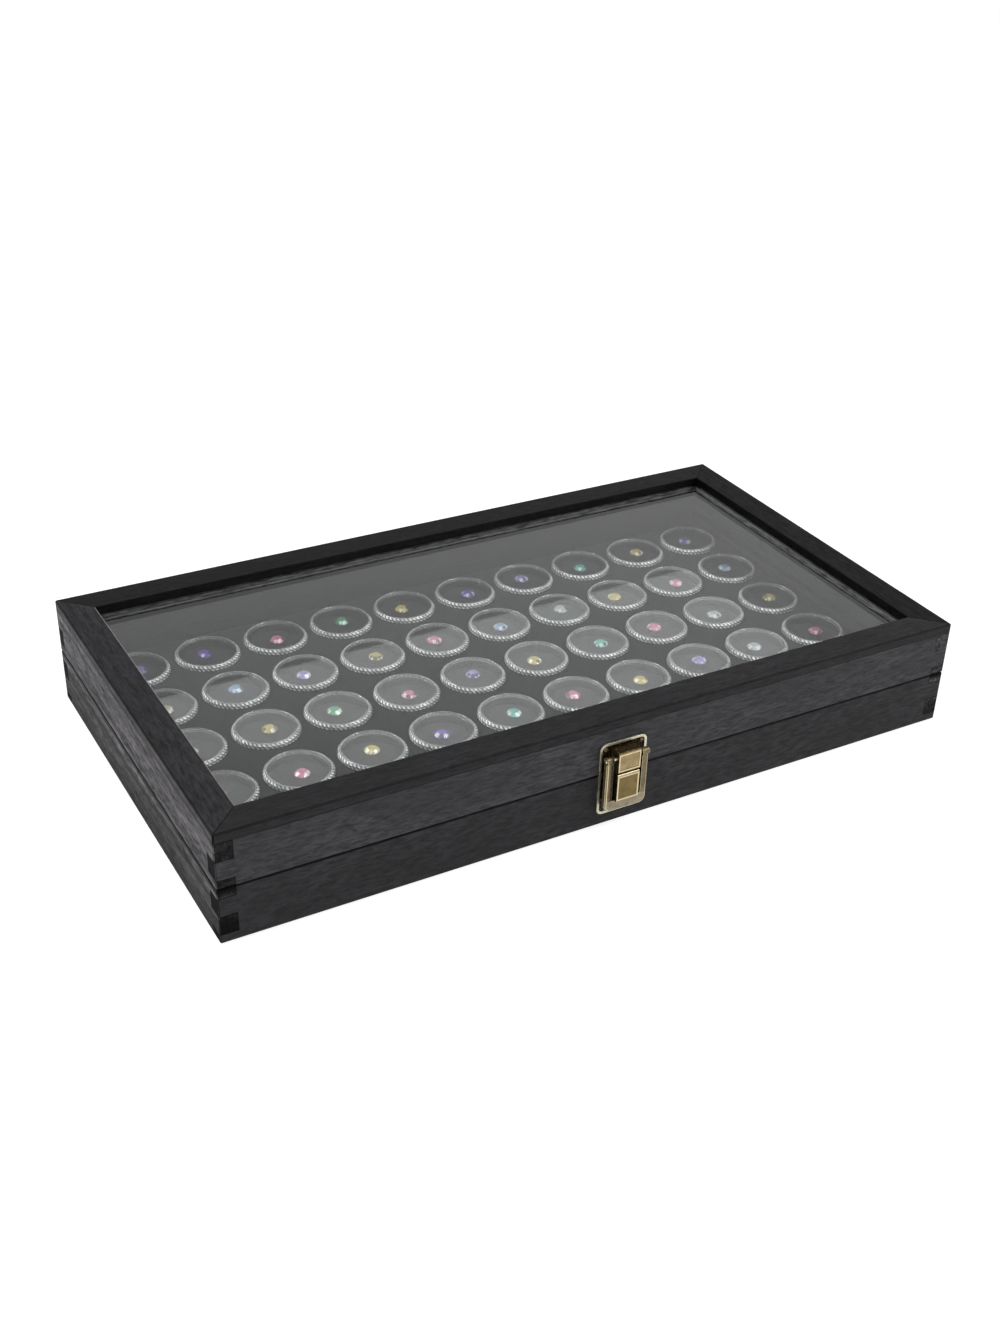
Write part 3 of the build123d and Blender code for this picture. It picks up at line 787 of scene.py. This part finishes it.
RIM_FROM, SKIRT_FROM = 14.15 * MM, 15.1 * MM
MAP_HEIGHT = 100 * MM
lid_outline = in_metres(
    (0, 21.86), (13.0, 21.86), (13.3, 21.86), (13.5, 20.9), (14.1, 20.9), (14.3, 21.86), (15.68, 21.86),
    (15.7, 21.1), (15.95, 21.05), (16.0, 21.2), (16.0, 21.65), (15.87, 21.78), (15.85, 21.9), (15.95, 22.02),
    (15.9, 22.15), (15.75, 22.29), (14.85, 23.1), (14.72, 23.23), (14.55, 23.4), (14.35, 23.4), (14.2, 23.33),
    (14.1, 23.2), (13.8, 23.2), (0, 23.2),
)
one_lid = turned(lid_outline, AROUND)
way_round = one_lid.loops.layers.uv.new("around the rim")
for face in one_lid.faces:
    middle = face.calc_center_median()
    radius = math.hypot(middle.x, middle.y)
    face.material_index = 2 if radius > SKIRT_FROM else 1 if radius > RIM_FROM else 0
    direction = math.atan2(middle.y, middle.x)
    for loop in face.loops:
        beside = math.remainder(math.atan2(loop.vert.co.y, loop.vert.co.x) - direction, math.tau)
        loop[way_round].uv = ((direction + beside) / math.tau, loop.vert.co.z / MAP_HEIGHT)
lids = copied_to(one_lid, jar_places)
lid_plastics = [lid_plastic, rim_plastic, skirt_plastic]
hand_over(lids, "moulded_lids", "insert", lid_plastics, ["jar_lids"], "jar_plastic")
print("cups and lids:", 2 * len(jar_places))

# %% [markdown]
# ## Foam pads
#
# In each jar a disc of soft black foam presses the stone up under the lid. The disc is cut with a round
# punch, so it bulges a little between its faces, and the stone sinks a shallow dimple in its top.

# %% Pads
pad_foam, tree, shader = finish("black_pad_foam", Roughness=0.9, Specular_IOR_Level=0.2)
cells = grain(tree, 2600, 2, 0.6)
tints = grain(tree, 30, 1)
warm = blended(tree, spread(tree, tints, 0.4, 0.6), (0.036, 0.042, 0.043), (0.046, 0.040, 0.046))
colour = blended(tree, spread(tree, cells, 0.3, 0.7), (0.014, 0.014, 0.015), warm)
put_all(tree, shader, Base_Color=colour, Normal=bumped(tree, cells, 0.15 * MM))
pad_outline = in_metres(
    (0, 5.75), (13.2, 5.75), (13.8, 6.3), (14.1, 9.0), (14.1, 14.2), (13.8, 16.7), (13.0, 17.35), (6.0, 17.4),
    (2.5, 17.3), (0, 17.25),
)
bm = copied_to(turned(pad_outline, 36), jar_places)
pads = hand_over(bm, "foam_pads", "insert", [pad_foam], ["jar_pads"], "pad_foam")
print("pads:", len(jar_places))

# %% [markdown]
# ## Cut stones
#
# Each stone is a round brilliant, 7.2 mm across. A cutter grinds it from a round blank, one flat facet
# after another, and the same can be done to a mesh: a plane cuts off what lies beyond it and the cut is
# filled. Eight main facets and sixteen smaller ones below the edge, the same again above it, and eight
# stars round the table give the real pattern of light and dark. Placing those corners by hand would take a
# page of numbers. In a real stone each facet shows, by way of several mirrors inside, another spot of the
# room, so it is bright or dark as a whole. A renderer finds that only with very many rays, so here each
# facet carries a painted reflection of its own, a number from dark to white.

# %% Cutting a stone
STONE_RADIUS, EDGE_Z, EDGE_HEIGHT, STONE_HEIGHT = 3.6 * MM, 2.9 * MM, 0.12 * MM, 4.3 * MM
STAR_RADIUS = 2.02 * MM


def facets(bm, count, slope, start, radius, z, above):
    """Grinds facets round a stone, each at a slope in degrees, that pass through a radius at a height z."""
    lean = math.radians(slope)
    for k in range(count):
        angle = math.radians(start) + k * math.tau / count
        outwards = Vector((math.cos(angle), math.sin(angle), 0))
        normal = outwards * math.sin(lean) + Vector((0, 0, math.cos(lean) if above else -math.cos(lean)))
        touched = outwards * radius + Vector((0, 0, z))
        cut = bmesh.ops.bisect_plane(
            bm, geom=everything(bm), dist=2 * MERGE, plane_co=touched, plane_no=normal, clear_outer=True,
        )
        rim = [item for item in cut["geom_cut"] if isinstance(item, bmesh.types.BMEdge)]
        if len(rim) > 2:
            bmesh.ops.contextual_create(bm, geom=rim)


def brilliant():
    """A stone with its point down at zero."""
    bm = bmesh.new()
    bmesh.ops.create_cone(
        bm, cap_ends=True, segments=32, radius1=STONE_RADIUS, radius2=STONE_RADIUS, depth=STONE_HEIGHT,
    )
    shifted(bm, bm.verts, (0, 0, STONE_HEIGHT / 2))
    top_of_edge = EDGE_Z + EDGE_HEIGHT
    facets(bm, 8, 38.4, 0, 0, 0, above=False)
    facets(bm, 16, 40.6, 11.25, STONE_RADIUS, EDGE_Z, above=False)
    facets(bm, 8, 39.0, 0, STONE_RADIUS, top_of_edge, above=True)
    facets(bm, 16, 44.0, 11.25, STONE_RADIUS, top_of_edge, above=True)
    facets(bm, 8, 24.0, 22.5, STAR_RADIUS, STONE_HEIGHT, above=True)
    return bm


stone = brilliant()
print("facets on a stone:", len(stone.faces), "open edges:", sum(edge.is_boundary for edge in stone.edges))
stone.free()

# %% Stones of every colour
stone_colours = {
    "purple": (0.28, 0.13, 0.74), "lavender": (0.50, 0.38, 0.86), "pink": (0.92, 0.29, 0.48),
    "green": (0.16, 0.60, 0.30), "yellow": (0.86, 0.70, 0.20), "blue": (0.36, 0.56, 0.80),
    "teal": (0.16, 0.66, 0.55), "clear": (0.66, 0.69, 0.73),
}
TABLE_TONE, LIGHTEST_TONE = 0.5, 0.95


def stone_finish(name, colour):
    """A coloured stone whose facets are painted dark, pale or nearly white as reflections, by the number that
    each carries.
    """
    material, tree, shader = see_through(name, colour, colour, 2.17, 0.03, clear=0.35)
    tone = marked(tree, "flash")
    # Painted reflections: dark facets, pale facets, and a nearly white painted highlight on the brightest.
    darkened, pale = (tuple(share * part for part in colour) for share in (0.12, 0.9))
    light = tuple(0.75 + 0.25 * part for part in colour)
    body = blended(tree, spread(tree, tone, 0.0, 0.7), darkened, pale)
    put_all(tree, shader, Base_Color=blended(tree, spread(tree, tone, 0.73, 0.78), body, light))
    return material


def painted_facet_reflection(face):
    """The painted reflection of a facet: one number for the tables, and for the others one that looks random
    but is the same in each run.
    """
    if face.normal.z > 0.99:
        return TABLE_TONE
    return (math.sin(face.index * 12.9898) * 43758.5453) % LIGHTEST_TONE


for colour_name, colour in stone_colours.items():
    node = f"gems_{colour_name}"
    drawn = merged_copy(node)
    lowest = min(v.co.z for v in drawn.verts)
    points = [v.co.copy() for v in drawn.verts if v.co.z < lowest + 2 * NEAR]
    drawn.free()
    places = [(point, 0.17 + 0.07 * math.sin(2.4 * k)) for k, point in enumerate(points)]
    stones = copied_to(brilliant(), places)
    flash, = marks_on(stones, "flash")
    for face in stones.faces:
        face[flash] = painted_facet_reflection(face)
    material = stone_finish(f"cut_{colour_name}", colour)
    hand_over(stones, f"stones_{colour_name}", "insert", [material], [node], f"gem_{colour_name}", smooth=1)
print("colours of stone:", len(stone_colours))

# %% [markdown]
# ## Antique brass
#
# The latch is plated steel that was darkened and then rubbed back, so what stands proud is pale gold, what
# lies deep is nearly black and mottled, and what fingers miss keeps an olive tone. The meshes carry these
# as marks on their faces: worn, silvery, untouched and darkened, where the darkening also holds painted
# shade in the gaps round the lever's arms and the block. The finish blends its looks by them, with noises
# to break up the borders.

# %% Brass finishes
def aged_brass(name, gold, silver, satin, olive, dark):
    """Brass that is gold on worn edges, silvery where its plating shows, and olive or dark elsewhere."""
    material, tree, shader = finish(name, Metallic=1.0)
    mottle = grain(tree, 900, 4, 0.65)
    smears = grain(tree, 260, 3)
    dull = spread(tree, smears, 0.32, 0.68, 0.62, 1.0)
    face = blended(tree, marked(tree, "untouched"), satin, olive)
    face = blended(tree, marked(tree, "silvery"), face, silver)
    face = blended(tree, dull, (0.03, 0.025, 0.015), face)
    wear_and_glint = times(tree, marked(tree, "wear_and_glint"), spread(tree, mottle, 0.25, 0.45))
    face = blended(tree, wear_and_glint, face, gold)
    speck = times(tree, spread(tree, mottle, 0.52, 0.66), 0.6)
    pit = blended(tree, speck, dark, tuple(0.5 * c for c in satin))
    darkened = marked(tree, "darkened")
    colour = blended(tree, darkened, face, pit)
    rough = maths(tree, "ADD", spread(tree, smears, 0.3, 0.7, 0.30, 0.42), times(tree, wear_and_glint, -0.10))
    rough = maths(tree, "ADD", rough, times(tree, darkened, 0.2))
    put_all(tree, shader, Base_Color=colour, Roughness=rough, Normal=bumped(tree, mottle, 0.02 * MM))
    return material


latch_brass = aged_brass(
    "antique_brass", gold=(0.93, 0.81, 0.53), silver=(0.62, 0.60, 0.48), satin=(0.39, 0.29, 0.15),
    olive=(0.15, 0.106, 0.032), dark=(0.014, 0.009, 0.005),
)
hinge_brass = aged_brass(
    "hinge_brass", gold=(0.78, 0.62, 0.34), silver=(0.62, 0.56, 0.40), satin=(0.42, 0.31, 0.15),
    olive=(0.30, 0.21, 0.08), dark=(0.05, 0.035, 0.015),
)
print("brass:", latch_brass.name, hinge_brass.name)

# %% [markdown]
# ## The latch
#
# The latch is stamped from sheet, so each of its edges is a small round. The plates, the block and the
# lever copy their nodes with those rounds added. On the block and on the lever's tongue the stamp also
# pressed a shallow panel with a border, which is why their edges shine as a frame round a darker field.
# The lever's arms are darkened across: patina, and on the left arm, growing towards its inner side, also
# painted shade that widens the shadowed gap beside the block; faces that look across the gaps by the tongue
# are darkened as painted shade. Nails and pin are new: in the CAD model the nails have eight sides, and
# real ones have a domed head.

# %% Pressing a panel
FRONT = -209.55 / 2 * MM
LATCH_FACE = FRONT - 6.6 * MM
PANEL_STEP = 0.2 * MM
BORDER_WEAR = 0.5
BRASS_MARKS = ("wear_and_glint", "darkened", "silvery", "untouched")


def press_panel(bm, border, depth):
    """Presses a shallow panel into the latch's foremost face, marks its border and returns its field."""
    wear_and_glint, = marks_on(bm, "wear_and_glint")
    front = [f for f in bm.faces if f.normal.y < -0.99 and f.calc_center_median().y < LATCH_FACE + NEAR]
    widest = max(front, key=lambda face: face.calc_area())
    bmesh.ops.inset_individual(bm, faces=[widest], thickness=border, depth=0.0)
    ring = {face for edge in widest.edges for face in edge.link_faces} - {widest}
    bmesh.ops.inset_individual(bm, faces=[widest], thickness=PANEL_STEP, depth=-depth)
    for face in ring:
        face[wear_and_glint] = BORDER_WEAR
    return widest


print("latch face:", round(LATCH_FACE / MM, 2), "mm")

# %% Marks for the latch's brass
BAR_TOP, ARMS_TOP = 15.4 * MM, 20.0 * MM
ARMS_FROM, TONGUE_TO = 6.5 * MM, 8.0 * MM
ARM_OUTSIDE, ARM_WIDTH = -10.0 * MM, 2.0 * MM
PLATE_FACE, SUNK_FACE = FRONT - 1.2 * MM, FRONT - 0.75 * MM


def marks_on_lever(face, middle, rounded):
    """How worn, how darkened and how silvery a face of the lever is: patina, and painted shade on the left
    arm's inner side and across the gaps by the tongue.
    """
    on_arm = abs(middle.x) > ARMS_FROM
    # On the left arm the darkening grows inwards: painted shade that widens the shadowed gap beside the
    # block.
    inwards = min(max((middle.x - ARM_OUTSIDE) / ARM_WIDTH, 0.0), 1.0) if middle.x < 0 else 0.25
    patina_and_gap_shade = 0.45 + 0.5 * inwards
    if middle.z < ARMS_TOP and (on_arm or middle.z < BAR_TOP):
        paler_share = (ARMS_TOP - middle.z) / (10.0 * MM)
        wear_and_glint, silvery = 0.8 if rounded else 0.0, 0.2 + 0.4 * paler_share
        darkened = 0.0 if rounded else 0.38 if middle.z < BAR_TOP else patina_and_gap_shade
    elif on_arm:
        wear_and_glint, darkened, silvery = (0.7, 0.3 * inwards, 0.2) if rounded else (0.0, patina_and_gap_shade, 0.2)
    else:
        wear_and_glint, darkened, silvery = 0.5 if rounded else 0.0, 0.0, 0.3
    # Faces across the gaps between the tongue and the arms are darkened: painted shade.
    if abs(face.normal.x) > 0.8 and abs(middle.x) < TONGUE_TO and not rounded:
        darkened = 0.85
    return wear_and_glint, darkened, silvery


def marks_on_plate(face, middle, rounded):
    """The same for a plate, whose field is sunk inside a border, and for the block or the stud on it."""
    if middle.y > PLATE_FACE:
        sunk = middle.y > SUNK_FACE and face.normal.y < -0.5
        return 0.25 if rounded else 0.0, 1.0 if sunk else 0.0, 1.0
    # A block or stud is darkened on its top and sides; on the sides this is painted shade of the gaps round
    # it.
    darkened = 0.85 if face.normal.z > 0.5 else 0.6 if abs(face.normal.x) > 0.5 else 0.0
    return (0.6, 0.3 * darkened, 0.0) if rounded else (0.0, darkened, 0.0)


print("marks for brass ready")

# %% Latch plates and lever
PLATE_ROUND, LEVER_ROUND = 0.22 * MM, 0.3 * MM
LEVER_CUTS_Z, LEVER_CUTS_X = (13, 15.5, 17.5, 20), (-9.6, -9, -8.4)
for node, body in (("latch_lid_plate", "lid"), ("latch_base_plate", "base"), ("latch_lever", "latch_flap")):
    is_lever = body == "latch_flap"
    bm = soften(merged_copy(node), LEVER_ROUND if is_lever else PLATE_ROUND, segments=3)
    wear_and_glint, darkened, silvery, untouched = marks_on(bm, *BRASS_MARKS)
    marks_of = marks_on_lever if is_lever else marks_on_plate
    if body != "base":
        field = press_panel(bm, border=0.8 * MM, depth=0.15 * MM)
        field[untouched] = 0.8 if is_lever else 0.15
    if is_lever:
        for z in LEVER_CUTS_Z:
            sawn_through(bm, (0, 0, z * MM), (0, 0, 1))
        for x in LEVER_CUTS_X:
            sawn_through(bm, (x * MM, 0, 0), (1, 0, 0))
    for face in bm.faces:
        if face[untouched] == 0 and face[wear_and_glint] != BORDER_WEAR:
            face[wear_and_glint], face[darkened], face[silvery] = marks_of(face, face.calc_center_median(), face[wear_and_glint] > 0)
    hand_over(bm, f"{node}_stamped", body, [latch_brass], [node], "antique_brass", **FLAT_SIDED)
print("latch ready")

# %% Nails and pin
AROUND_ROD = 24


def domed_rod(radius, low_z, high_z, dome):
    """A rod along Z with domed ends."""
    steps = [(math.sin(math.radians(a)), math.cos(math.radians(a))) for a in (20, 45, 70, 90)]
    low_end = [(0, low_z)] + [(radius * s, low_z + dome * (1 - c)) for s, c in steps]
    high_end = [(radius * s, high_z - dome * (1 - c)) for s, c in reversed(steps)] + [(0, high_z)]
    return turned(low_end + high_end, AROUND_ROD)


def marked_all_over(bm, how_worn=1.0, how_deep=0.0):
    """Gives every face of a small part the same marks."""
    wear_and_glint, darkened = marks_on(bm, *BRASS_MARKS)[:2]
    for face in bm.faces:
        face[wear_and_glint] = how_worn
        face[darkened] = how_deep
    return bm


NAIL_SEAT = FRONT - 0.6 * MM
NAIL_RADIUS, NAIL_DOME, PIN_DOME = 1.1 * MM, 0.45 * MM, 0.3 * MM
for node, body in (("latch_lid_nails", "lid"), ("latch_base_nails", "base")):
    low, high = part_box(node)
    bm = domed_rod(NAIL_RADIUS, 0, NAIL_SEAT - low.y, NAIL_DOME)
    swung(bm, bm.verts, QUARTER_TURN, "X")
    z = (low.z + high.z) / 2
    places = [(Vector((x, NAIL_SEAT, z)), 0) for x in (low.x + NAIL_RADIUS, high.x - NAIL_RADIUS)]
    nails = marked_all_over(copied_to(bm, places), 0.0, 0.6)
    hand_over(nails, f"{node}_domed", body, [latch_brass], [node], "antique_brass")

low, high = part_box("latch_pin")
bm = domed_rod((high.y - low.y) / 2, low.x, high.x, PIN_DOME)
swung(bm, bm.verts, QUARTER_TURN, "Y")
shifted(bm, bm.verts, (0, (low.y + high.y) / 2, (low.z + high.z) / 2))
hand_over(marked_all_over(bm), "latch_pin_domed", "lid", [latch_brass], ["latch_pin"], "antique_brass")
print("nails ready")

# %% [markdown]
# ## The hinges
#
# Each hinge is a pair of brass leaves with rolled knuckles round a pin. The knuckles show at the back as
# three short barrels with hairline gaps, and the screws, with a slot across the head, show once the lid is
# open.

# %% Hinge leaves
HINGE_MIDDLES = (-118 * MM, 118 * MM)
HINGE_Y, LEAF_Y, WEB_Y = 107.175 * MM, 101.575 * MM, 105.6 * MM
LEAF_LIFT = 0.6 * MM
LEAF_SIZE = (32 * MM, 6.4 * MM, 1.16 * MM)
WEB_DEPTH, WEB_THICKNESS = 2.6 * MM, 1.1 * MM
BARREL, LEAF_ROUND = 2.2 * MM, 0.12 * MM
KNUCKLES = {"lid": in_metres((-16, -6.15), (6.15, 16)), "base": in_metres((-6, 6))}


def add_block(bm, size, middle):
    """Adds a block of a size, with its middle at a place."""
    verts = bmesh.ops.create_cube(bm, size=1)["verts"]
    bmesh.ops.scale(bm, verts=verts, vec=size)
    shifted(bm, verts, middle)


def hinge_half(part):
    """The leaves of both hinges on one side of the seam, each a plate with its knuckles."""
    bm = bmesh.new()
    leaf_z = SEAM + (LEAF_LIFT if part == "lid" else -LEAF_LIFT)
    for hinge_x in HINGE_MIDDLES:
        add_block(bm, LEAF_SIZE, (hinge_x, LEAF_Y, leaf_z))
        for start, end in KNUCKLES[part]:
            knuckle_x = hinge_x + (start + end) / 2
            add_block(bm, (end - start, WEB_DEPTH, WEB_THICKNESS), (knuckle_x, WEB_Y, leaf_z))
            barrel = bmesh.ops.create_cone(
                bm, cap_ends=True, segments=32, radius1=BARREL, radius2=BARREL, depth=end - start,
            )["verts"]
            swung(bm, barrel, QUARTER_TURN, "Y")
            shifted(bm, barrel, (knuckle_x, HINGE_Y, SEAM))
    return bm


for part in ("lid", "base"):
    node = f"hinge_{part}_leaves"
    bm = soften(hinge_half(part), LEAF_ROUND, sharper_than=40)
    marks_on(bm, *BRASS_MARKS)
    hand_over(bm, f"{node}_rolled", part, [hinge_brass], [node], "hinge_brass", **FLAT_SIDED)
print("leaves ready")

# %% Hinge pins
PIN_RADIUS, PIN_HALF, END_DOME = 1.0 * MM, 16.4 * MM, 0.35 * MM
pin = domed_rod(PIN_RADIUS, -PIN_HALF, PIN_HALF, END_DOME)
swung(pin, pin.verts, QUARTER_TURN, "Y")
pins = copied_to(pin, [(Vector((x, HINGE_Y, SEAM)), 0) for x in HINGE_MIDDLES])
hand_over(marked_all_over(pins), "hinge_pins_domed", "base", [hinge_brass], ["hinge_pins"], "hinge_brass")
print("hinge pins:", len(HINGE_MIDDLES))

# %% Slotted screws
SLOT_HALF, WITHIN_SLOT, SLOT_DEPTH = 0.22 * MM, 0.2 * MM, 0.45 * MM
SCREW_OFFSET = 10 * MM


def slotted_screw():
    """A countersunk screw with its head up at zero and a slot across it."""
    bm = turned(in_metres((0, -8), (0.3, -7.6), (0.8, -6.6), (0.8, -1.2), (1.7, 0), (0, 0)), AROUND_ROD)
    for x in (-SLOT_HALF, SLOT_HALF):
        sawn_through(bm, (x, 0, 0), (1, 0, 0))
    on_top = [face for face in bm.faces if face.normal.z > 0.9 and face.calc_center_median().z > -TOUCH]
    slot_faces = [face for face in on_top if abs(face.calc_center_median().x) < WITHIN_SLOT]
    sunk = bmesh.ops.extrude_face_region(bm, geom=slot_faces)
    moved = [item for item in sunk["geom"] if isinstance(item, bmesh.types.BMVert)]
    shifted(bm, moved, (0, 0, -SLOT_DEPTH))
    bmesh.ops.delete(bm, geom=[face for face in slot_faces if face.is_valid], context="FACES")
    bmesh.ops.recalc_face_normals(bm, faces=bm.faces)
    return bm


screw_places = [(x + offset, LEAF_Y) for x in HINGE_MIDDLES for offset in (-SCREW_OFFSET, SCREW_OFFSET)]
for part in ("lid", "base"):
    node = f"hinge_{part}_screws"
    screw = slotted_screw()
    swung(screw, screw.verts, math.pi if part == "lid" else 0.0, "X")
    places = [(Vector((x, y, SEAM)), 0.6 + 1.3 * k) for k, (x, y) in enumerate(screw_places)]
    screws = copied_to(screw, places)
    hand_over(marked_all_over(screws), f"{node}_slotted", part, [hinge_brass], [node], "hinge_brass")
print("screws:", 2 * len(screw_places))

# %% [markdown]
# ## Sizes
#
# The last step prints the box of the dressed model beside that of the CAD model, because dressing must
# not make the object grow.

# %% Measure and finish
dressed_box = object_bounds()
for name, box in (("CAD box:", cad_box), ("dressed box:", dressed_box)):
    print(name, [tuple(round(v, 5) for v in corner) for corner in box])
